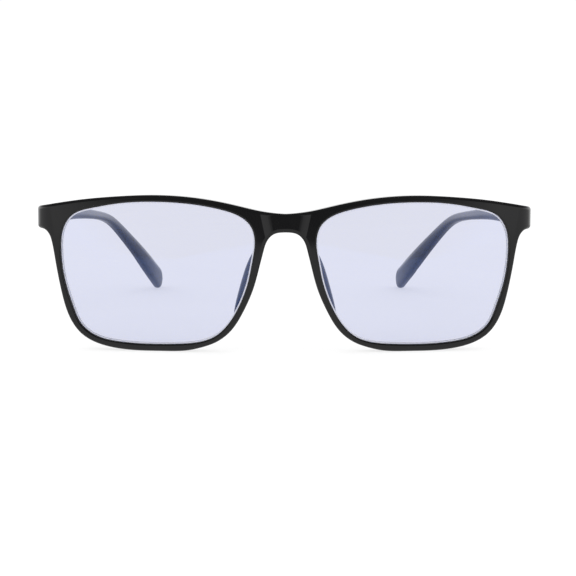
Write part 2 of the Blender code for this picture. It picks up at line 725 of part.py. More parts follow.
def build_pivot_screw(side_name, side, collection, material):
    """The screw that the hinge turns on, dropped in from above."""
    top = HINGE_HEIGHT + (KNUCKLE_COUNT - 1) / 2 * KNUCKLE_PITCH + KNUCKLE_HEIGHT / 2
    bottom = HINGE_HEIGHT - (KNUCKLE_COUNT - 1) / 2 * KNUCKLE_PITCH - KNUCKLE_HEIGHT / 2
    seat = top + PIVOT_HEAD_GAP - HINGE_HEIGHT
    end = bottom - PIVOT_TAIL - HINGE_HEIGHT
    crown = seat + PIVOT_HEAD_HEIGHT
    profile = [
        (0, crown), (PIVOT_HEAD_RADIUS * 0.8, crown), (PIVOT_HEAD_RADIUS, crown - 0.2 * MM),
        (PIVOT_HEAD_RADIUS, seat), (PIVOT_RADIUS, seat), (PIVOT_RADIUS, end + 0.2 * MM),
        (PIVOT_RADIUS * 0.6, end), (0, end),
    ]
    matrix = Matrix.Translation((side * HINGE_X, BUTT_Y, HINGE_HEIGHT))
    return slot_screw(f"hinge_screw_{side_name}", profile, collection, material, matrix)


def hang_on_pivot(side_name, side, things, collection):
    """Parent a temple's pieces to an empty on its hinge axis."""
    pivot = bpy.data.objects.new(f"temple_{side_name}_pivot", None)
    pivot.location = (side * HINGE_X, BUTT_Y, HINGE_HEIGHT)
    collection.objects.link(pivot)
    bpy.context.view_layer.update()
    for thing in things:
        thing.parent = pivot
        thing.matrix_parent_inverse = pivot.matrix_world.inverted()


def build_materials():
    """One material for each kind of piece."""
    black = (0.012, 0.012, 0.013)
    return {
        "front": make_material("gloss_black_front", black, 0.16),
        "temple": make_material("gloss_black_temple", black, 0.16),
        "pad": make_material("gloss_black_pad", (0.014, 0.014, 0.016), 0.22),
        "lens": make_material("blue_filter_lens", (0.78, 0.8, 0.92), 0.03, transmission=1.0, alpha=0.35),
        "hinge": make_material("brushed_steel_hinge", (0.55, 0.55, 0.54), 0.32, metallic=1.0),
        "screw": make_material("bright_steel_screw", (0.66, 0.66, 0.65), 0.22, metallic=1.0),
        "wire": make_material("core_wire_steel", (0.5, 0.49, 0.46), 0.35, metallic=1.0),
    }


def build_glasses():
    """Build every piece of the glasses."""
    clear_scene()
    glasses = make_collection(COLLECTION_NAME)
    make_collection(CUTTERS_NAME)
    materials = build_materials()
    front = build_front(glasses, materials["front"])
    for side_name, side in SIDES:
        build_lens(side_name, side, glasses, materials["lens"])
        build_nose_pad(side_name, side, glasses, materials["pad"])
        temple = build_temple(side_name, side, glasses, materials["temple"])
        wire, channel = build_core_wire(side_name, side, glasses, materials["wire"])
        cut(temple, channel)
        build_leaf(side_name, side, -1, (glasses, front), materials)
        moving = build_leaf(side_name, side, 1, (glasses, temple), materials)
        build_pivot_screw(side_name, side, glasses, materials["screw"])
        hang_on_pivot(side_name, side, [temple, wire, *moving], glasses)


build_glasses()
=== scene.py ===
"""Looks for the blue light glasses: fine meshes in gloss black and filter-lens finishes, on a pale table.

Metres, +Z up, the front faces -Y. Each piece here stands for the CAD node of the same name.
The front is designed flat, as (along, depth, up) places, and then wrapped on its plan curve.
"""

import math

import bmesh
import bpy
import numpy as np
from mathutils import Matrix, Vector


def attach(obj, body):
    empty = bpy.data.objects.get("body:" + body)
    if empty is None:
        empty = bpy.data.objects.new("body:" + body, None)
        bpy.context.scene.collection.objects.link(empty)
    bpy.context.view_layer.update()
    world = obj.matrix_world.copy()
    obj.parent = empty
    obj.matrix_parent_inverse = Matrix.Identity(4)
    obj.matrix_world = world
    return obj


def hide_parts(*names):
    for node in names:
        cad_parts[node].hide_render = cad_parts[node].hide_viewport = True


MM = 0.001
SIDES = (("left", 1), ("right", -1))

# The front's plan: a shallow curve that turns back at each endpiece
FRONT_Y = -71.35 * MM
TEMPLE_END = 142.38 * MM
FRAME_THICKNESS = 4.0 * MM
FACE_RADIUS = 360.0 * MM
BEND_START = 67.0 * MM
BEND_RADIUS = 7.0 * MM
ARM_STRAIGHT = 5.5 * MM
START_ANGLE = BEND_START / FACE_RADIUS
BEND_END = BEND_START + BEND_RADIUS * (math.pi / 2 - START_ANGLE)
BUTT_ALONG = BEND_END + ARM_STRAIGHT
BEND_CENTRE_X = (FACE_RADIUS - BEND_RADIUS) * math.sin(START_ANGLE)
BEND_CENTRE_Y = FACE_RADIUS - (FACE_RADIUS - BEND_RADIUS) * math.cos(START_ANGLE)

# Outlines in (along, up), in millimetres
APERTURE_MM = (
    (8.9, 31.5), (9.5, 26.9), (10.85, 20.3), (13.4, 13.4), (16.4, 8.3), (20.6, 4.4),
    (25.6, 2.75), (32.0, 2.2), (48.7, 2.65), (55.2, 4.2), (59.7, 7.6), (62.1, 12.8),
    (64.3, 19.9), (65.4, 29.0), (64.6, 35.4), (61.9, 39.2), (56.1, 41.3), (48.0, 42.75),
    (39.3, 43.3), (27.0, 42.7), (17.8, 41.0), (13.2, 39.3), (10.2, 36.7),
)
OUTLINE_MM = (
    (-4.9, 40.45), (0.0, 40.0), (4.9, 40.45), (14.0, 42.4), (23.3, 44.2), (37.3, 45.25),
    (49.0, 44.75), (60.0, 43.65), (66.5, 42.65), (72.0, 41.85), (78.0, 41.3), (85.0, 40.8),
    (91.0, 40.4), (94.0, 37.9), (91.0, 35.2), (85.0, 34.85), (78.0, 34.9), (73.0, 34.95),
    (70.8, 34.65), (69.3, 33.5), (68.4, 31.4), (67.35, 26.3), (65.4, 16.2), (63.1, 9.2),
    (59.8, 4.7), (55.6, 2.2), (50.0, 0.7), (41.0, 0.0), (33.0, 0.0), (28.6, 0.25),
    (24.4, 1.15), (19.6, 3.0), (15.4, 6.5), (12.2, 11.6), (9.2, 18.5), (7.3, 25.5),
    (6.35, 29.2), (5.3, 32.2), (3.6, 34.0), (0.0, 34.65), (-3.6, 34.0), (-5.3, 32.2),
    (-12.0, 35.5), (-14.0, 42.4),
)
# The points of each outline between which it runs beside the nose
OUTLINE_NOSE = (32, 39)
APERTURE_NOSE = (0, 5)
STEPS_PER_SPAN = 8

# How the flat half is cut up before it bends, and what is then merged
SLICE_EVERY = 1.25 * MM
CREASE_SLICES = 12
BEND_SLICES = 24
SLICE_TOLERANCE = 0.0001 * MM
MIDDLE_SNAP = 0.01 * MM
SLICE_MERGE = 0.004 * MM
MIRROR_MERGE = 0.005 * MM
CLEAN_MERGE = 0.002 * MM

# The rim's section: each round's width, depth and steps, and the groove as (offset, depth)
FRONT_ROUND = (1.05 * MM, 0.9 * MM, 8)
BACK_ROUND = (0.5 * MM, 0.5 * MM, 4)
APERTURE_FRONT = (0.45 * MM, 0.45 * MM, 5)
APERTURE_BACK = (0.75 * MM, 1.5 * MM, 6)
GROOVE = ((0.0, 0.95 * MM), (0.5 * MM, 1.45 * MM), (0.0, 1.95 * MM))
GROOVE_APEX = 1.45 * MM
FLAT_STRIP = 0.06 * MM

# The hollow in the bridge
CREASE_FOOT = (5.6 * MM, 32.2 * MM)
CREASE_HEAD = (7.4 * MM, 40.6 * MM)
CREASE_LEAN = (CREASE_HEAD[0] - CREASE_FOOT[0]) / (CREASE_HEAD[1] - CREASE_FOOT[1])
SADDLE_DEPTH = 0.9 * MM
SADDLE_WIDTH = 4.0 * MM
CREASE_NEAR = 0.04 * MM
CREASE_BACK = FRONT_Y + 0.95 * MM

# Lenses
LENS_THICKNESS = 1.9 * MM
LENS_GAP = 0.12 * MM
LENS_BEVEL = 0.42 * MM
LENS_CHAMFER = 0.25 * MM
LENS_DOME = 0.7 * MM
LENS_CENTRE = (37.0 * MM, 23.0 * MM)
LENS_RINGS = 12
LENS_RING_REACH = 0.985
LENS_TINTS = ((0.672, 0.693, 0.838), (0.680, 0.701, 0.846))
LENS_COATING = (0.18, 0.36, 1.0, 1.0)
LENS_IOR = 1.75

# Nose pads
PAD_LOW = 10.0 * MM
PAD_HIGH = 29.6 * MM
PAD_REACH = 7.6 * MM
PAD_SPLAY = 2.6 * MM
PAD_THICKNESS = 1.25 * MM
PAD_NOSE_INSET = 0.55 * MM
PAD_LENS_INSET = 0.8 * MM
PAD_ROOT = 0.1 * MM
PAD_END = 0.04
PAD_WAISTS = (0.55, 0.45)
PAD_STATIONS = 44
PAD_STEPS = 6

# Hinges and screws
BUTT_GAP = 0.1 * MM
HINGE_HEIGHT = 37.95 * MM
BARREL_RADIUS = 1.25 * MM
BORE_RADIUS = 0.65 * MM
KNUCKLE_HEIGHT = 0.88 * MM
KNUCKLE_PITCH = 0.94 * MM
KNUCKLE_COUNT = 5
KNUCKLE_EDGE = 0.06 * MM
WEB_START = math.radians(6)
LEAF_THICKNESS = 0.8 * MM
LEAF_HEIGHT = 4.7 * MM
LEAF_EDGE = 0.1 * MM
LEAF_SETBACK = 0.1 * MM
BARREL_GAP = 0.05 * MM
POCKET_GAP = 0.06 * MM
POCKET_PAST_BUTT = 4.0 * MM
POCKET_PAST_WALL = 1.0 * MM
LEAF_LENGTH = {-1: 4.9 * MM, 1: 7.6 * MM}
ARM_INNER_X = BEND_CENTRE_X + BEND_RADIUS - FRAME_THICKNESS
BUTT_Y = FRONT_Y + BEND_CENTRE_Y + ARM_STRAIGHT
HINGE_X = ARM_INNER_X - BARREL_GAP - BARREL_RADIUS
PIVOT_RADIUS = 0.6 * MM
PIVOT_HEAD_RADIUS = 1.1 * MM
PIVOT_HEAD_HEIGHT = 0.6 * MM
PIVOT_HEAD_GAP = 0.03 * MM
PIVOT_TAIL = 0.35 * MM
SCREW_POINT = 0.2 * MM
SLOT_WIDTH = 0.3 * MM
SLOT_DEPTH = 0.28 * MM
FIXING_RADIUS = 0.45 * MM
FIXING_HEAD_RADIUS = 0.85 * MM
FIXING_LENGTH = 2.2 * MM
FIXING_SINK = 0.02 * MM
FIXING_LIP = 0.08 * MM
FIXING_CONE = 0.45 * MM
HOLE_GROW = 0.05 * MM
HOLE_RISE = 0.3 * MM
FRONT_FIXING_Y = BUTT_Y - 3.2 * MM
FRONT_FIXING_SPREAD = 1.35 * MM
TEMPLE_FIXING_Y = (BUTT_Y + 3.0 * MM, BUTT_Y + 5.8 * MM)
ROUND_STEPS = 48

# Temples: distance behind the front, half-spread, height of the middle, section height, thickness
TEMPLE_STATIONS_MM = (
    (18.7, 70.3, 37.93, 6.1, 4.0), (28.0, 70.2, 37.45, 6.4, 3.9), (40.0, 69.2, 36.8, 5.5, 3.6),
    (54.0, 67.0, 35.65, 4.2, 3.2), (68.0, 64.3, 34.05, 3.4, 2.9), (83.0, 61.5, 32.1, 3.0, 2.7),
    (95.0, 58.9, 29.3, 3.2, 2.7), (106.0, 55.5, 23.6, 4.0, 2.8), (117.0, 51.3, 16.1, 5.5, 2.9),
    (128.0, 47.8, 9.0, 7.0, 3.0), (140.2, 45.4, 2.95, 7.8, 2.8),
)
TEMPLE_RINGS = 150
TIP_RINGS = 16
SECTION_POINTS = 56
SECTION_POWER = 3.2
TIP_ROUND = 5.0 * MM
TIP_SQUARES_UP = (60.0 * MM, 100.0 * MM)
BUTT_EDGE = 0.12 * MM
# The rings of the butt's rounded edge, as shares of it: (along from the end, in from the side)
BUTT_RINGS = ((0.0, 1.0), (0.4, 0.3), (1.0, 0.0))

# The camera stands a little to one side and looks slightly down
CAMERA_DISTANCE = 443.3 * MM
CAMERA_HEIGHT = 79.3 * MM
CAMERA_RIGHT = 0.72 * MM
CAMERA_YAW = math.radians(-1.05)
CAMERA_PITCH = math.radians(7.769)
CAMERA_ROLL = math.radians(0.2)
CAMERA_LENS = 97.375

# The table, its own glow, and the lamp
TABLE_HALF = 6.0
TABLE_DROP = 0.02 * MM
TABLE_GLOW = 0.76
TABLE_SHADE = 0.28
LAMP_POWER = 3.0
LAMP_SIZE = 1.6
LAMP_PLACE = (0, 0.25, 1.3)

# The surroundings: white to direct sight, and painted reflections of a dim room, darkest on the camera's
# side. The turns are round the table from straight in front, and the spans are of a direction's Y or Z
SURROUND_WHITE = 1.04
# The levels below are painted reflection: only gloss surfaces see them
PAINTED_DARK_REFLECTION = 0.12
DARK_TURNS = (math.radians(20), math.radians(31))
PAINTED_REFLECTION_SIDE = 0.75
PAINTED_REFLECTION_TABLE = 0.62
PAINTED_REFLECTION_BACK = 1.4
PAINTED_REFLECTION_TOP = 0.15
TABLE_EDGE_Y = FRONT_Y - 285.0 * MM
TABLE_EDGE_BLUR = 0.02
TABLE_BACK_SPAN = (0.12, 0.35)
SIDE_SPAN = (-0.94, -0.85)
BACK_SPAN = (-0.5, 0.6)
TOP_SPAN = (0.15, 0.5)


# ---------------------------------------------------------------- shapes

def object_from(name, shape):
    """Turn a bmesh into an object with its faces pointing out."""
    bmesh.ops.recalc_face_normals(shape, faces=shape.faces[:])
    mesh = bpy.data.meshes.new(name)
    shape.to_mesh(mesh)
    shape.free()
    thing = bpy.data.objects.new(name, mesh)
    bpy.context.scene.collection.objects.link(thing)
    return thing


def boolean(thing, tool, operation="DIFFERENCE"):
    """Add a Boolean modifier that uses another object."""
    modifier = thing.modifiers.new(tool.name, "BOOLEAN")
    modifier.operation = operation
    modifier.object = tool
    modifier.solver = "EXACT"


def settle(thing, tools=(), angle=35):
    """Apply the modifiers, remove the tools and shade smoothly round the sharp edges."""
    bpy.context.view_layer.update()
    graph = bpy.context.evaluated_depsgraph_get()
    mesh = bpy.data.meshes.new_from_object(thing.evaluated_get(graph))
    thing.modifiers.clear()
    thing.data = mesh
    shape = bmesh.new()
    shape.from_mesh(mesh)
    bmesh.ops.remove_doubles(shape, verts=shape.verts[:], dist=CLEAN_MERGE)
    bmesh.ops.dissolve_degenerate(shape, edges=shape.edges[:], dist=CLEAN_MERGE)
    shape.to_mesh(mesh)
    shape.free()
    for tool in tools:
        bpy.data.objects.remove(tool, do_unlink=True)
    mesh.shade_smooth()
    mesh.set_sharp_from_angle(angle=math.radians(angle))


def weigh_normals(thing):
    """Let the large faces set the shading, so that flats look flat beside their rounds."""
    modifier = thing.modifiers.new("normals", "WEIGHTED_NORMAL")
    modifier.keep_sharp = True
    modifier.mode = "FACE_AREA_WITH_ANGLE"
    modifier.weight = 50


def spline_through(points, closed=False):
    """Give a function from 0..number of spans to places on a smooth curve through the points."""
    knots = np.array(points, float)
    if closed:
        knots = np.vstack([knots, knots[:1]])
    gaps = np.linalg.norm(np.diff(knots, axis=0), axis=1)
    slopes = np.diff(knots, axis=0) / gaps[:, None]
    count = len(knots)
    matrix = np.zeros((count, count))
    right = np.zeros(knots.shape)
    for row in range(1, count - 1):
        matrix[row, row - 1 : row + 2] = gaps[row - 1], 2 * (gaps[row - 1] + gaps[row]), gaps[row]
        right[row] = 6 * (slopes[row] - slopes[row - 1])
    matrix[0, 0] = 1
    if closed:
        matrix[0, -1] = -1
        matrix[-1, :2] = 2 * gaps[0], gaps[0]
        matrix[-1, -2:] += gaps[-1], 2 * gaps[-1]
        right[-1] = 6 * (slopes[0] - slopes[-1])
    else:
        matrix[-1, -1] = 1
    bends = np.linalg.solve(matrix, right)

    def place(where):
        span = min(max(int(where), 0), count - 2)
        gap = gaps[span]
        after = (where - span) * gap
        before = gap - after
        low, high = knots[span] / gap, knots[span + 1] / gap
        curve = (bends[span] * before**3 + bends[span + 1] * after**3) / (6 * gap)
        bend_low = bends[span] * gap / 6
        bend_high = bends[span + 1] * gap / 6
        return curve + (low - bend_low) * before + (high - bend_high) * after

    return place


def closed_outline(points_mm):
    """Points and outward normals round a closed outline, in metres."""
    place = spline_through(points_mm, closed=True)
    count = len(points_mm) * STEPS_PER_SPAN
    points = np.array([place(step / STEPS_PER_SPAN) for step in range(count)]) * MM
    points[:, 1] = np.maximum(points[:, 1], 0.0)
    tangents = np.roll(points, -1, axis=0) - np.roll(points, 1, axis=0)
    normals = np.stack([tangents[:, 1], -tangents[:, 0]], axis=1)
    normals /= np.linalg.norm(normals, axis=1)[:, None]
    area = np.sum(points[:, 0] * np.roll(points[:, 1], -1) - points[:, 1] * np.roll(points[:, 0], -1))
    return points, normals * math.copysign(1, area)


def wrap(along, up, depth):
    """The world place of a flat place: round the face curve, the endpiece bend and the arm."""
    if along <= BEND_START:
        angle = along / FACE_RADIUS
        x = FACE_RADIUS * math.sin(angle)
        y = FACE_RADIUS * (1 - math.cos(angle))
    else:
        angle = min(START_ANGLE + (along - BEND_START) / BEND_RADIUS, math.pi / 2)
        x = BEND_CENTRE_X + BEND_RADIUS * math.sin(angle)
        y = BEND_CENTRE_Y - BEND_RADIUS * math.cos(angle) + max(along - BEND_END, 0.0)
    return Vector((x - depth * math.sin(angle), FRONT_Y + y + depth * math.cos(angle), up))


def on_side(side, place):
    """The same place on the wearer's left (1) or right (-1)."""
    return Vector((side * place[0], place[1], place[2]))


def inside_crease(along, up):
    """How far a flat place is inside the crease, towards the middle of the bridge."""
    return CREASE_FOOT[0] + CREASE_LEAN * (up - CREASE_FOOT[1]) - along


def saddle(along, up):
    """How far the front surface is hollowed at a flat place on the bridge."""
    part = min(max(inside_crease(along, up) / SADDLE_WIDTH, 0.0), 1.0)
    return SADDLE_DEPTH * (4 * part - part**4) / 3


def loft(shape, rings, capped=False, round_trip=False):
    """Skin rings of places in order. Gives the rings' vertices."""
    made = [[shape.verts.new(place) for place in ring] for ring in rings]
    pairs = list(zip(made, made[1:]))
    if round_trip:
        pairs.append((made[-1], made[0]))
    for first, second in pairs:
        for index, vertex in enumerate(first):
            after = (index + 1) % len(first)
            shape.faces.new((vertex, first[after], second[after], second[index]))
    if capped:
        shape.faces.new(made[0])
        shape.faces.new(made[-1])
    return made


def ring_edges(shape, ring):
    """The edges round a ring of vertices."""
    return [shape.edges.get((ring[i - 1], ring[i])) for i in range(len(ring))]


def slice_flat(shape, place, normal, **clear):
    """Cut the plate with a plane, and give the edges of the cut.

    A cut that clears a side goes right through. One that clears nothing cuts the two flats only.
    """
    faces = shape.faces[:]
    if not clear:
        shape.normal_update()
        faces = [face for face in faces if abs(face.normal.y) > 0.99]
    # A dict keeps its order, so each run gives the same mesh
    edges = dict.fromkeys(edge for face in faces for edge in face.edges)
    verts = dict.fromkeys(vertex for face in faces for vertex in face.verts)
    geometry = [*verts, *edges, *faces]
    result = bmesh.ops.bisect_plane(
        shape, geom=geometry, dist=SLICE_TOLERANCE, plane_co=place, plane_no=normal, **clear
    )
    return [part for part in result["geom_cut"] if isinstance(part, bmesh.types.BMEdge)]


def quarter_round(width, depth, steps):
    """(width, depth) pairs of a quarter ellipse, from the front face round to the side wall."""
    turns = [math.pi / 2 * step / steps for step in range(steps + 1)]
    return [(width * (1 - math.sin(turn)), depth * (1 - math.cos(turn))) for turn in turns]


def border_round(width, depth, steps):
    """A quarter round with a narrow strip of the flat face before it, which keeps its shading even."""
    return [(width + FLAT_STRIP, 0.0)] + quarter_round(width, depth, steps)


def from_back(pairs):
    """The same round, measured from the back of the frame."""
    return [(width, FRAME_THICKNESS - depth) for width, depth in reversed(pairs)]


def rings_round(points, normals, section, direction):
    """One flat ring for each (offset, depth) pair, as (along, depth, up) places."""
    rings = []
    for offset, depth in section:
        moved = points + normals * offset * direction
        rings.append([(along, depth, up) for along, up in moved])
    return rings


def slice_for_bends(shape):
    """Add edges where the plate will bend: every so often, along the creases and round the endpiece."""
    across = Vector((1, 0, -CREASE_LEAN)).normalized()
    for step in range(CREASE_SLICES + 1):
        foot = Vector((CREASE_FOOT[0], 0, CREASE_FOOT[1]))
        foot.x -= SADDLE_WIDTH * step / CREASE_SLICES
        slice_flat(shape, foot, across)
    for step in range(int(BEND_START / SLICE_EVERY)):
        slice_flat(shape, ((step + 1) * SLICE_EVERY, 0, 0), (1, 0, 0))
    for step in range(BEND_SLICES + 1):
        along = BEND_START + (BEND_END - BEND_START) * step / BEND_SLICES
        slice_flat(shape, (along, 0, 0), (1, 0, 0))


def mark_creases(mesh):
    """Keep the two lines where the bridge's hollow begins crisp."""
    sharp = mesh.attributes.get("sharp_edge") or mesh.attributes.new("sharp_edge", "BOOLEAN", "EDGE")
    for edge in mesh.edges:
        ends = [mesh.vertices[index].co for index in edge.vertices]
        off = max(abs(inside_crease(abs(end.x), end.z)) for end in ends)
        if off < CREASE_NEAR and max(end.y for end in ends) < CREASE_BACK:
            sharp.data[edge.index].value = True


def build_front(tools):
    """The one-piece front, from one flat half that is wrapped and mirrored."""
    shape = bmesh.new()
    outline, outward = closed_outline(OUTLINE_MM)
    aperture, open_outward = closed_outline(APERTURE_MM)
    outer_section = border_round(*FRONT_ROUND) + from_back(border_round(*BACK_ROUND))
    hole_section = border_round(*APERTURE_FRONT) + list(GROOVE) + from_back(border_round(*APERTURE_BACK))
    outer = loft(shape, rings_round(outline, outward, outer_section, -1))
    inner = loft(shape, rings_round(aperture, open_outward, hole_section, 1))
    for index in (0, -1):
        edges = ring_edges(shape, outer[index]) + ring_edges(shape, inner[index])
        bmesh.ops.triangle_fill(shape, use_beauty=True, edges=edges)
    butt_edges = slice_flat(shape, (BUTT_ALONG, 0, 0), (1, 0, 0), clear_outer=True)
    bmesh.ops.edgeloop_fill(shape, edges=butt_edges)
    slice_flat(shape, (0, 0, 0), (1, 0, 0), clear_inner=True)
    slice_for_bends(shape)
    for vertex in shape.verts:
        if abs(vertex.co.x) < MIDDLE_SNAP:
            vertex.co.x = 0.0
    bmesh.ops.remove_doubles(shape, verts=shape.verts[:], dist=SLICE_MERGE)
    for vertex in shape.verts:
        along, depth, up = vertex.co
        share = max(1 - depth / FRAME_THICKNESS, 0.0)
        vertex.co = wrap(along, up, depth + saddle(along, up) * share)
    front = object_from("fine_front_frame", shape)
    mirror = front.modifiers.new("mirror", "MIRROR")
    mirror.merge_threshold = MIRROR_MERGE
    for tool in tools:
        boolean(front, tool)
    settle(front, tools)
    mark_creases(front.data)
    weigh_normals(front)
    return front


def dome_at(share):
    """How far a lens stands forward at a share of the way from its middle to its edge."""
    return LENS_DOME * (1 - share**2)


def build_lens(side_name, side):
    """A lens with a bevelled edge that sits in the rim's groove."""
    shape = bmesh.new()
    outline, outward = closed_outline(APERTURE_MM)
    front = GROOVE_APEX - LENS_THICKNESS / 2
    back = GROOVE_APEX + LENS_THICKNESS / 2
    edge = [
        (-LENS_GAP - LENS_CHAMFER, front), (-LENS_GAP, front + LENS_CHAMFER), (-LENS_GAP, GROOVE[0][1]),
        (LENS_BEVEL, GROOVE_APEX), (-LENS_GAP, GROOVE[2][1]), (-LENS_GAP, back - LENS_CHAMFER),
        (-LENS_GAP - LENS_CHAMFER, back),
    ]
    flat_rings = [(outline + outward * offset, depth) for offset, depth in edge]
    centre = np.array(LENS_CENTRE)
    for step in range(1, LENS_RINGS):
        share = LENS_RING_REACH * (1 - step / LENS_RINGS)
        ring = centre + (outline - centre) * share
        flat_rings.insert(0, (ring, front - dome_at(share)))
        flat_rings.append((ring, back - dome_at(share)))
    rings = [[on_side(side, wrap(along, up, depth)) for along, up in ring] for ring, depth in flat_rings]
    made = loft(shape, rings)
    ground = {vertex for ring in made[LENS_RINGS - 1 : LENS_RINGS - 1 + len(edge)] for vertex in ring}
    for face in shape.faces:
        face.material_index = int(ground.issuperset(face.verts))
    for ring, depth in ((made[0], front), (made[-1], back)):
        middle = shape.verts.new(on_side(side, wrap(centre[0], centre[1], depth - dome_at(0.0))))
        for index in range(len(ring)):
            shape.faces.new((ring[index - 1], ring[index], middle))
    lens = object_from(f"fine_lens_{side_name}", shape)
    settle(lens, angle=12)
    lens.visible_shadow = False
    return lens


def along_at(points, up, nose):
    """Where an outline's nasal side is at a height, between two of the points it is drawn through."""
    part = points[nose[0] * STEPS_PER_SPAN : nose[1] * STEPS_PER_SPAN]
    order = np.argsort(part[:, 1])
    return float(np.interp(up, part[order, 1], part[order, 0]))


def build_nose_pad(side_name, side):
    """A nose pad: a rounded fin bonded to the back of the rim, which splays out as it runs back."""
    outline, _ = closed_outline(OUTLINE_MM)
    aperture, _ = closed_outline(APERTURE_MM)
    shape = bmesh.new()
    rings = []
    for station in range(PAD_STATIONS + 1):
        share = station / PAD_STATIONS
        up = PAD_LOW + (PAD_HIGH - PAD_LOW) * share
        nose_side = along_at(outline, up, OUTLINE_NOSE) + PAD_NOSE_INSET
        lens_side = along_at(aperture, up, APERTURE_NOSE) - PAD_LENS_INSET
        swell = math.sqrt(math.sin(math.pi * (PAD_END + (1 - 2 * PAD_END) * share)))
        reach = PAD_REACH * swell
        root = FRAME_THICKNESS - PAD_ROOT
        edge = FRAME_THICKNESS + reach
        tip = (nose_side + lens_side) / 2 + PAD_SPLAY * swell
        half = PAD_THICKNESS / 2 * swell
        nose_waist = nose_side + (tip - half - nose_side) * PAD_WAISTS[0]
        lens_waist = lens_side + (tip + half - lens_side) * PAD_WAISTS[1]
        corners = [
            (nose_side, root), (nose_waist, root + reach * 0.5), (tip - half, edge - half), (tip, edge),
            (tip + half, edge - half), (lens_waist, root + reach * 0.5), (lens_side, root),
        ]
        curve = spline_through(corners)
        ring = [curve(step / PAD_STEPS) for step in range(PAD_STEPS * (len(corners) - 1) + 1)]
        rings.append([on_side(side, wrap(along, up, depth)) for along, depth in ring])
    loft(shape, rings, capped=True)
    pad = object_from(f"fine_nose_pad_{side_name}", shape)
    settle(pad, angle=50)
    return pad


def temple_place(stations, distance):
    """Middle, section height and thickness of the temple at a distance behind the front."""
    spans = np.arange(len(TEMPLE_STATIONS_MM))
    table = np.array(TEMPLE_STATIONS_MM) * MM
    span = float(np.interp(distance, table[:, 0], spans))
    for _ in range(4):
        error = distance - stations(span)[0] * MM
        span += error / (table[-1, 0] - table[0, 0]) * len(spans)
    return stations(span) * MM


def smooth_step(value, low, high):
    """0 below low, 1 above high and a smooth rise between."""
    part = min(max((value - low) / (high - low), 0.0), 1.0)
    return part * part * (3 - 2 * part)


def temple_frames(distances):
    """(middle, thickness direction, height direction, height, thickness) at each distance."""
    stations = spline_through(TEMPLE_STATIONS_MM)
    frames = []
    for distance in distances:
        y, x, z, height, thickness = temple_place(stations, distance)
        ahead = temple_place(stations, distance + 0.5 * MM)
        behind = temple_place(stations, distance - 0.5 * MM)
        run = Vector((ahead[1] - behind[1], ahead[0] - behind[0], ahead[2] - behind[2])).normalized()
        square = smooth_step(distance, *TIP_SQUARES_UP)
        facing = Vector((0, 1, 0)).lerp(run, square).normalized()
        across = facing.cross(Vector((0, 0, 1))).normalized()
        frames.append((Vector((x, FRONT_Y + y, z)), across, across.cross(facing), height, thickness))
    return frames


def rounded_section(half_width, half_height):
    """Points round a superellipse, which is a rectangle with generous corners."""
    points = []
    for step in range(SECTION_POINTS):
        turn = 2 * math.pi * (step + 0.5) / SECTION_POINTS
        across = math.copysign(abs(math.cos(turn)) ** (2 / SECTION_POWER), math.cos(turn))
        up = math.copysign(abs(math.sin(turn)) ** (2 / SECTION_POWER), math.sin(turn))
        points.append((half_width * across, half_height * up))
    return points


def build_temple(side_name, side, tools):
    """A temple: one loft from the butt face to the rounded tip behind the ear."""
    start = BUTT_Y + BUTT_GAP - FRONT_Y
    tip = TEMPLE_END - TIP_ROUND
    distances = [start + BUTT_EDGE * along for along, _ in BUTT_RINGS]
    distances += [start + (tip - start) * step / TEMPLE_RINGS for step in range(1, TEMPLE_RINGS)]
    turns = [math.pi / 2 * step / TIP_RINGS for step in range(TIP_RINGS)]
    distances += [tip + TIP_ROUND * math.sin(turn) for turn in turns]
    insets = [BUTT_EDGE * inward for _, inward in BUTT_RINGS]
    insets += [0.0] * (len(distances) - len(insets))
    rings = []
    for index, (middle, across, upward, height, thickness) in enumerate(temple_frames(distances)):
        left = max(TEMPLE_END - distances[index], 0.0) / TIP_ROUND
        taper = math.sqrt(max(1 - (1 - min(left, 1.0)) ** 2, 0.0))
        half_width = thickness / 2 * taper**0.5 - insets[index]
        half_height = height / 2 * taper - insets[index]
        section = rounded_section(half_width, half_height)
        rings.append([on_side(side, middle + across * out + upward * up) for out, up in section])
    shape = bmesh.new()
    loft(shape, rings, capped=True)
    temple = object_from(f"fine_temple_{side_name}", shape)
    for tool in tools:
        boolean(temple, tool)
    settle(temple, tools, angle=30)
    return temple


# ---------------------------------------------------------------- hinges

def box_shape(low, high, edge=0.0):
    """A box between two corners, with its edges broken if asked."""
    shape = bmesh.new()
    size = Vector(high) - Vector(low)
    middle = (Vector(high) + Vector(low)) / 2
    matrix = Matrix.Translation(middle) @ Matrix.Diagonal((*[abs(part) for part in size], 1))
    bmesh.ops.create_cube(shape, size=1, matrix=matrix)
    if edge:
        bmesh.ops.bevel(shape, geom=shape.edges[:], offset=edge, segments=3, profile=0.5, affect="EDGES")
    return shape


def turned(name, profile, matrix):
    """A turned piece: a profile of (radius, height) spun round its own Z."""
    shape = bmesh.new()
    rings = []
    for radius, height in profile[1:-1]:
        turns = [2 * math.pi * step / ROUND_STEPS for step in range(ROUND_STEPS)]
        rings.append([matrix @ Vector((radius * math.cos(t), radius * math.sin(t), height)) for t in turns])
    loft(shape, rings, capped=True)
    return object_from(name, shape)


def slot_screw(name, profile, matrix):
    """A turned screw with a slot across the head, which is at the top of its own frame."""
    screw = turned(name, profile, matrix)
    top = profile[0][1]
    reach = 2 * PIVOT_HEAD_RADIUS
    shape = box_shape((-reach, -SLOT_WIDTH / 2, top - SLOT_DEPTH), (reach, SLOT_WIDTH / 2, top + SLOT_DEPTH))
    bmesh.ops.transform(shape, matrix=matrix, verts=shape.verts[:])
    slot = object_from(f"slot_{name}", shape)
    boolean(screw, slot)
    settle(screw, [slot], angle=28)
    return screw


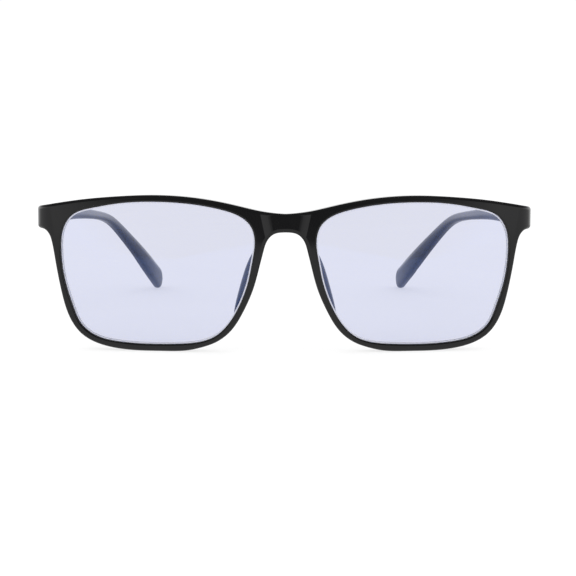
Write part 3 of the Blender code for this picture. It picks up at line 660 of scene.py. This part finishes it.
def knuckle_outline(way):
    """(turn, reach) pairs round a knuckle: the barrel, with a web out to the leaf."""
    web_out = ARM_INNER_X - HINGE_X + LEAF_THICKNESS / 2
    corner = math.atan2(BARREL_RADIUS, web_out)
    steps = {2 * math.pi * step / ROUND_STEPS for step in range(ROUND_STEPS)}
    pairs = []
    for turn in sorted(steps | {WEB_START, corner}):
        reach = BARREL_RADIUS
        if WEB_START <= turn < corner:
            reach = web_out / math.cos(turn)
        elif corner <= turn < math.pi / 2:
            reach = BARREL_RADIUS / math.sin(turn)
        pairs.append((turn * way, reach))
    return pairs


def knuckles(side, way):
    """A bmesh of the bored knuckles of one leaf, with broken edges."""
    shape = bmesh.new()
    bottom = HINGE_HEIGHT - (KNUCKLE_COUNT - 1) / 2 * KNUCKLE_PITCH - KNUCKLE_HEIGHT / 2
    outline = knuckle_outline(way)
    for index in range(0 if way < 0 else 1, KNUCKLE_COUNT, 2):
        low = bottom + index * KNUCKLE_PITCH
        high = low + KNUCKLE_HEIGHT
        section = (
            (0, -KNUCKLE_EDGE, low), (0, 0.0, low + KNUCKLE_EDGE), (0, 0.0, high - KNUCKLE_EDGE),
            (0, -KNUCKLE_EDGE, high), (1, 0.0, high), (1, 0.0, low),
        )
        rings = []
        for bored, offset, height in section:
            ring = []
            for turn, reach in outline:
                radius = BORE_RADIUS if bored else reach + offset
                x = HINGE_X + radius * math.cos(turn)
                ring.append((side * x, BUTT_Y + radius * math.sin(turn), height))
            rings.append(ring)
        loft(shape, rings, round_trip=True)
    bmesh.ops.triangulate(shape, faces=shape.faces[:])
    return shape


def leaf_corners(side, way, grow=0.0):
    """Low and high corners of a hinge leaf's plate, or of its pocket when grown."""
    near = BUTT_Y + way * (BUTT_GAP + LEAF_SETBACK) - way * (POCKET_PAST_BUTT if grow else 0.0)
    far = BUTT_Y + way * (BUTT_GAP + LEAF_SETBACK + LEAF_LENGTH[way] + grow)
    inner = ARM_INNER_X - (POCKET_PAST_WALL if grow else 0.0)
    outer = ARM_INNER_X + LEAF_THICKNESS + grow
    half = LEAF_HEIGHT / 2 + grow
    return (side * inner, near, HINGE_HEIGHT - half), (side * outer, far, HINGE_HEIGHT + half)


def fixing_matrices(side, way):
    """Where a leaf's two screws stand, with their heads towards the wearer's head."""
    if way < 0:
        spread = (-FRONT_FIXING_SPREAD, FRONT_FIXING_SPREAD)
        places = [(side * ARM_INNER_X, FRONT_FIXING_Y, HINGE_HEIGHT + off) for off in spread]
    else:
        places = [(side * ARM_INNER_X, y, HINGE_HEIGHT) for y in TEMPLE_FIXING_Y]
    turn = Matrix.Rotation(-side * math.pi / 2, 4, "Y")
    return [Matrix.Translation(place) @ turn for place in places]


def fixing_profile(grow=0.0):
    """(radius, height) down a countersunk fixing screw, or down its hole when grown."""
    shank = FIXING_RADIUS + grow
    head = FIXING_HEAD_RADIUS + grow
    top = HOLE_RISE if grow else -FIXING_SINK
    lip = -FIXING_LIP - grow * 0.4
    end = -FIXING_LENGTH - grow * 2
    crown = [(head - 0.05 * MM, top), (head, top - 0.03 * MM)] if not grow else [(head, top)]
    return [
        (0, top), *crown, (head, lip), (shank, -FIXING_CONE), (shank, end + SCREW_POINT),
        (shank * 0.4, end), (0, end),
    ]


def build_leaf(side_name, side, way):
    """One leaf of a hinge. Gives it with the tools that cut its pocket and screw holes."""
    place_name = "front" if way < 0 else "temple"
    name = f"hinge_{place_name}_leaf_{side_name}"
    leaf = object_from(f"fine_{name}", box_shape(*leaf_corners(side, way), LEAF_EDGE))
    barrel = object_from(f"knuckles_{name}", knuckles(side, way))
    boolean(leaf, barrel, "UNION")
    holes = []
    for number, matrix in enumerate(fixing_matrices(side, way), 1):
        hole = turned(f"hole_{number}_{name}", fixing_profile(HOLE_GROW), matrix)
        boolean(leaf, hole)
        holes.append(hole)
    settle(leaf, [barrel], angle=28)
    pocket = object_from(f"pocket_{name}", box_shape(*leaf_corners(side, way, POCKET_GAP)))
    return leaf, [pocket, *holes]


def build_fixings(side_name, side, way):
    """The two screws of a leaf."""
    place_name = "front" if way < 0 else "temple"
    screws = []
    for number, matrix in enumerate(fixing_matrices(side, way), 1):
        name = f"fine_{place_name}_leaf_screw_{number}_{side_name}"
        screws.append(slot_screw(name, fixing_profile(), matrix))
    return screws


def build_pivot_screw(side_name, side):
    """The screw that the hinge turns on, dropped in from above."""
    half = (KNUCKLE_COUNT - 1) / 2 * KNUCKLE_PITCH + KNUCKLE_HEIGHT / 2
    seat = half + PIVOT_HEAD_GAP
    end = -half - PIVOT_TAIL
    crown = seat + PIVOT_HEAD_HEIGHT
    profile = [
        (0, crown), (PIVOT_HEAD_RADIUS * 0.7, crown), (PIVOT_HEAD_RADIUS * 0.9, crown - 0.06 * MM),
        (PIVOT_HEAD_RADIUS, crown - 0.18 * MM), (PIVOT_HEAD_RADIUS, seat), (PIVOT_RADIUS, seat),
        (PIVOT_RADIUS, end + SCREW_POINT), (PIVOT_RADIUS * 0.6, end), (0, end),
    ]
    matrix = Matrix.Translation((side * HINGE_X, BUTT_Y, HINGE_HEIGHT))
    return slot_screw(f"fine_hinge_screw_{side_name}", profile, matrix)


# ---------------------------------------------------------------- materials

class Nodes:
    """A short way to build a material's node tree."""

    def __init__(self, name):
        self.material = bpy.data.materials.new(name)
        self.material.use_nodes = True
        self.tree = self.material.node_tree
        self.shader = self.tree.nodes["Principled BSDF"]
        self.place = self.add("ShaderNodeTexCoord").outputs["Object"]

    def add(self, kind, **settings):
        node = self.tree.nodes.new(kind)
        for key, value in settings.items():
            setattr(node, key, value)
        return node

    def link(self, source, target):
        self.tree.links.new(source, target)

    def noise(self, scale, stretch=(1, 1, 1), detail=3.0, offset=(0, 0, 0)):
        """Noise over the piece's own place, in its 0..1 Factor output."""
        mapping = self.add("ShaderNodeMapping")
        mapping.inputs["Scale"].default_value = stretch
        mapping.inputs["Location"].default_value = offset
        self.link(self.place, mapping.inputs["Vector"])
        noise = self.add("ShaderNodeTexNoise")
        noise.inputs["Scale"].default_value = scale
        noise.inputs["Detail"].default_value = detail
        self.link(mapping.outputs["Vector"], noise.inputs["Vector"])
        return noise.outputs[0]

    def spread(self, value, low, high, start=0.3, end=0.7):
        """Map start..end of a value to low..high."""
        node = self.add("ShaderNodeMapRange")
        for key, number in (("From Min", start), ("From Max", end), ("To Min", low), ("To Max", high)):
            node.inputs[key].default_value = number
        self.link(value, node.inputs["Value"])
        return node.outputs["Result"]

    def math(self, operation, first, second=None):
        """Arithmetic on an output and a second output or number."""
        node = self.add("ShaderNodeMath", operation=operation)
        self.link(first, node.inputs[0])
        if isinstance(second, float):
            node.inputs[1].default_value = second
        elif second:
            self.link(second, node.inputs[1])
        return node.outputs[0]

    def colours(self, value, first, second):
        """Blend two colours by a 0..1 value."""
        node = self.add("ShaderNodeMix", data_type="RGBA")
        self.link(value, node.inputs["Factor"])
        node.inputs["A"].default_value = (*first, 1)
        node.inputs["B"].default_value = (*second, 1)
        return node.outputs["Result"]

    def bump(self, value, strength, distance):
        """Raise the surface by a value, up to a distance in metres."""
        node = self.add("ShaderNodeBump")
        node.inputs["Strength"].default_value = strength
        node.inputs["Distance"].default_value = distance
        self.link(value, node.inputs["Height"])
        self.link(node.outputs["Normal"], self.shader.inputs["Normal"])

    def set(self, **values):
        """Set the shader's own sockets. An underscore stands for a space in a socket's name."""
        for key, value in values.items():
            self.shader.inputs[key.replace("_", " ")].default_value = value


def gloss_black(name, stretch, seed, lacquer=0.0):
    """Polished black acetate: deep black, with faint buffing marks and a very slight waviness."""
    nodes = Nodes(name)
    cloud = nodes.noise(90.0, detail=2.0, offset=(seed, 0, 0))
    shade = nodes.colours(nodes.spread(cloud, 0, 1), (0.0045, 0.0045, 0.005), (0.0065, 0.0065, 0.007))
    nodes.link(shade, nodes.shader.inputs["Base Color"])
    haze = nodes.spread(nodes.noise(260.0, detail=4.0, offset=(0, seed, 0)), 0.045, 0.085)
    hairs = nodes.spread(nodes.noise(900.0, stretch, 2.0, (seed, seed, 0)), 0.0, 0.035, 0.55, 0.75)
    nodes.link(nodes.math("ADD", haze, hairs), nodes.shader.inputs["Roughness"])
    nodes.bump(nodes.noise(420.0, detail=1.0, offset=(seed, 0, seed)), 0.12, 0.000012)
    nodes.set(IOR=1.5, Coat_Weight=lacquer, Coat_Roughness=0.05)
    return nodes.material


def filter_lens(name, haze=0.0):
    """A clear plastic lens with a faint lavender tint and a blue reflection from its coating."""
    nodes = Nodes(name)
    cloud = nodes.spread(nodes.noise(24.0, detail=1.0), 0, 1)
    nodes.link(nodes.colours(cloud, *LENS_TINTS), nodes.shader.inputs["Base Color"])
    smear = nodes.noise(300.0, detail=3.0)
    nodes.link(nodes.spread(smear, haze, haze * 1.3 + 0.012), nodes.shader.inputs["Roughness"])
    nodes.set(IOR=LENS_IOR, Transmission_Weight=1.0, Specular_Tint=LENS_COATING)
    return nodes.material


def steel(name, shade, stretch, rough):
    """Fine machined steel: tool marks across the grain and small stains."""
    nodes = Nodes(name)
    stain = nodes.spread(nodes.noise(700.0, detail=4.0), 0, 1)
    dark = tuple(part * 0.8 for part in shade)
    nodes.link(nodes.colours(stain, dark, shade), nodes.shader.inputs["Base Color"])
    marks = nodes.noise(1500.0, stretch, 3.0)
    nodes.link(nodes.spread(marks, rough * 0.7, rough * 1.5), nodes.shader.inputs["Roughness"])
    nodes.bump(marks, 0.35, 0.000008)
    nodes.set(Metallic=1.0)
    return nodes.material


def finish_piece(thing, body, nodes, slot, *materials):
    """Put a piece in its place in the frame and give it its materials."""
    for material in materials:
        thing.data.materials.append(material)
    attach(thing, body)
    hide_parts(nodes)


# ---------------------------------------------------------------- stage

def product(tree, first, second):
    """Multiply two outputs."""
    node = tree.nodes.new("ShaderNodeMath")
    node.operation = "MULTIPLY"
    tree.links.new(first, node.inputs[0])
    tree.links.new(second, node.inputs[1])
    return node.outputs[0]


def mirror_ray(tree):
    """1 where a gloss surface's reflection is looked up, 0 for direct sight, glass and soft light."""
    path = tree.nodes.new("ShaderNodeLightPath")
    return product(tree, path.outputs["Is Reflection Ray"], path.outputs["Is Glossy Ray"])


def stage_material():
    """A matt white table top. Gloss reflections see a painted reflection on it, dark on the camera's side.
    """
    nodes = Nodes("white_table")
    grain = nodes.spread(nodes.noise(40.0, detail=5.0), 0, 1)
    shade = nodes.colours(grain, (TABLE_SHADE,) * 3, (TABLE_SHADE + 0.01,) * 3)
    nodes.link(shade, nodes.shader.inputs["Base Color"])
    nodes.set(Roughness=1.0, Specular_IOR_Level=0.0)
    nodes.set(Emission_Color=(1, 1, 1, 1), Emission_Strength=TABLE_GLOW)
    # Painted reflection: what gloss surfaces see here, a dimmer table and a dark wedge on the camera's side
    split = nodes.add("ShaderNodeSeparateXYZ")
    nodes.link(nodes.place, split.inputs[0])
    turn = nodes.math("ARCTAN2", split.outputs["X"], nodes.math("MULTIPLY", split.outputs["Y"], -1.0))
    side = nodes.spread(nodes.math("ABSOLUTE", turn), PAINTED_DARK_REFLECTION, PAINTED_REFLECTION_SIDE, *DARK_TURNS)
    edge = (TABLE_EDGE_Y - TABLE_EDGE_BLUR, TABLE_EDGE_Y + TABLE_EDGE_BLUR)
    near = nodes.spread(split.outputs["Y"], 0.0, 1.0, *edge)
    painted_reflection = nodes.add("ShaderNodeMix")
    nodes.link(near, painted_reflection.inputs["Factor"])
    nodes.link(side, painted_reflection.inputs["A"])
    back = nodes.spread(split.outputs["Y"], PAINTED_REFLECTION_TABLE, PAINTED_REFLECTION_BACK, *TABLE_BACK_SPAN)
    nodes.link(back, painted_reflection.inputs["B"])
    seen = nodes.add("ShaderNodeEmission")
    nodes.link(painted_reflection.outputs["Result"], seen.inputs["Strength"])
    mix = nodes.add("ShaderNodeMixShader")
    nodes.link(mirror_ray(nodes.tree), mix.inputs[0])
    nodes.link(nodes.shader.outputs[0], mix.inputs[1])
    nodes.link(seen.outputs[0], mix.inputs[2])
    nodes.link(mix.outputs[0], nodes.tree.nodes["Material Output"].inputs[0])
    return nodes.material


def build_world():
    """White surroundings. Gloss reflections see them painted dark on the camera's side and overhead."""
    world = bpy.data.worlds.new("studio")
    bpy.context.scene.world = world
    world.use_nodes = True
    tree = world.node_tree
    background = tree.nodes["Background"]
    background.inputs["Color"].default_value = (1, 1, 1, 1)
    place = tree.nodes.new("ShaderNodeTexCoord")
    split = tree.nodes.new("ShaderNodeSeparateXYZ")
    tree.links.new(place.outputs["Generated"], split.inputs[0])

    def ramp(value, start, end, low, high):
        node = tree.nodes.new("ShaderNodeMapRange")
        node.interpolation_type = "SMOOTHSTEP"
        for key, number in (("From Min", start), ("From Max", end), ("To Min", low), ("To Max", high)):
            node.inputs[key].default_value = number
        tree.links.new(value, node.inputs["Value"])
        return node.outputs["Result"]

    # Painted reflection: these dim levels are seen by gloss reflections only
    side = ramp(split.outputs["Y"], *SIDE_SPAN, PAINTED_DARK_REFLECTION, PAINTED_REFLECTION_SIDE)
    back = ramp(split.outputs["Y"], *BACK_SPAN, 1.0, PAINTED_REFLECTION_BACK / PAINTED_REFLECTION_SIDE)
    top = ramp(split.outputs["Z"], *TOP_SPAN, 1.0, PAINTED_REFLECTION_TOP)
    choose = tree.nodes.new("ShaderNodeMix")
    tree.links.new(mirror_ray(tree), choose.inputs["Factor"])
    choose.inputs["A"].default_value = SURROUND_WHITE
    tree.links.new(product(tree, product(tree, side, top), back), choose.inputs["B"])
    tree.links.new(choose.outputs["Result"], background.inputs["Strength"])


def build_stage():
    """The table, a large soft lamp overhead and the white surroundings."""
    shape = bmesh.new()
    bmesh.ops.create_grid(shape, x_segments=1, y_segments=1, size=TABLE_HALF)
    table = object_from("table", shape)
    table.location.z = -TABLE_DROP
    table.data.materials.append(stage_material())
    lamp = bpy.data.lights.new("softbox", "AREA")
    lamp.shape = "SQUARE"
    lamp.size = LAMP_SIZE
    lamp.energy = LAMP_POWER
    softbox = bpy.data.objects.new("softbox", lamp)
    softbox.location = LAMP_PLACE
    softbox.visible_glossy = False
    bpy.context.scene.collection.objects.link(softbox)
    build_world()
    bpy.context.scene.view_settings.view_transform = "Standard"


def build_camera():
    """The camera, in front and a little to the left of the middle, looking slightly down."""
    data = bpy.data.cameras.new("camera")
    data.lens = CAMERA_LENS
    data.sensor_width = 36
    data.clip_start = 0.01
    camera = bpy.data.objects.new("camera", data)
    bpy.context.scene.collection.objects.link(camera)
    ahead = Vector((-math.sin(CAMERA_YAW), math.cos(CAMERA_YAW), 0))
    right = Vector((math.cos(CAMERA_YAW), math.sin(CAMERA_YAW), 0))
    place = Vector((0, FRONT_Y, 0)) - ahead * CAMERA_DISTANCE + right * CAMERA_RIGHT
    place.z = CAMERA_HEIGHT
    turn = Matrix.Rotation(CAMERA_YAW, 4, "Z") @ Matrix.Rotation(math.pi / 2 - CAMERA_PITCH, 4, "X")
    camera.matrix_world = Matrix.Translation(place) @ turn @ Matrix.Rotation(CAMERA_ROLL, 4, "Z")
    bpy.context.scene.camera = camera


# ---------------------------------------------------------------- the glasses

def build_glasses(frame):
    """Build every piece and put it in the frame."""
    front_black = gloss_black("gloss_black_front", (1, 1, 14), 1.7)
    pad_black = gloss_black("gloss_black_pad", (1, 1, 6), 4.1)
    lens_glass = filter_lens("blue_filter_lens")
    lens_edge = filter_lens("ground_lens_edge", 0.4)
    hinge_steel = steel("machined_steel_hinge", (0.56, 0.555, 0.545), (1, 1, 9), 0.3)
    screw_steel = steel("turned_steel_screw", (0.68, 0.675, 0.66), (5, 5, 5), 0.2)
    wire_steel = steel("drawn_steel_wire", (0.5, 0.49, 0.46), (1, 0.1, 1), 0.35)
    front_tools = []
    for side_name, side in SIDES:
        body = f"temple_{side_name}"
        temple_black = gloss_black(f"gloss_black_temple_{side_name}", (1, 14, 1), 7.3 + side, 0.3)
        leaf, tools = build_leaf(side_name, side, 1)
        finish_piece(leaf, body, f"hinge_temple_leaf_{side_name}", "hinge", hinge_steel)
        temple = build_temple(side_name, side, tools)
        finish_piece(temple, body, f"temple_{side_name}", "temple", temple_black)
        leaf, tools = build_leaf(side_name, side, -1)
        finish_piece(leaf, "front", f"hinge_front_leaf_{side_name}", "hinge", hinge_steel)
        front_tools += tools
        for way, place_name, holder in ((-1, "front", "front"), (1, "temple", body)):
            for number, screw in enumerate(build_fixings(side_name, side, way), 1):
                node = f"{place_name}_leaf_screw_{number}_{side_name}"
                finish_piece(screw, holder, node, "screw", screw_steel)
        pivot = build_pivot_screw(side_name, side)
        finish_piece(pivot, "front", f"hinge_screw_{side_name}", "screw", screw_steel)
        lens = build_lens(side_name, side)
        finish_piece(lens, "front", f"lens_{side_name}", "lens", lens_glass, lens_edge)
        pad = build_nose_pad(side_name, side)
        finish_piece(pad, "front", f"nose_pad_{side_name}", "pad", pad_black)
        wire = frame["nodes"][f"temple_core_wire_{side_name}"]
        wire.data.materials.clear()
        wire.data.materials.append(wire_steel)
    finish_piece(build_front(front_tools), "front", "front_frame", "front", front_black)


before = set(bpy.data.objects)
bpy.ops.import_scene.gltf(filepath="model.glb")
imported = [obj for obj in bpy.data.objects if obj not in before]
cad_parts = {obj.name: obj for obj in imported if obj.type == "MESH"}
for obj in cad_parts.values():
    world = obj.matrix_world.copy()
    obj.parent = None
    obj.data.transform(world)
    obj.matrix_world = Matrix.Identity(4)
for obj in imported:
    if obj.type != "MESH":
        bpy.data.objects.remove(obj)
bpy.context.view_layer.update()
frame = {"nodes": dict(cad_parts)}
build_glasses(frame)
build_stage()
build_camera()
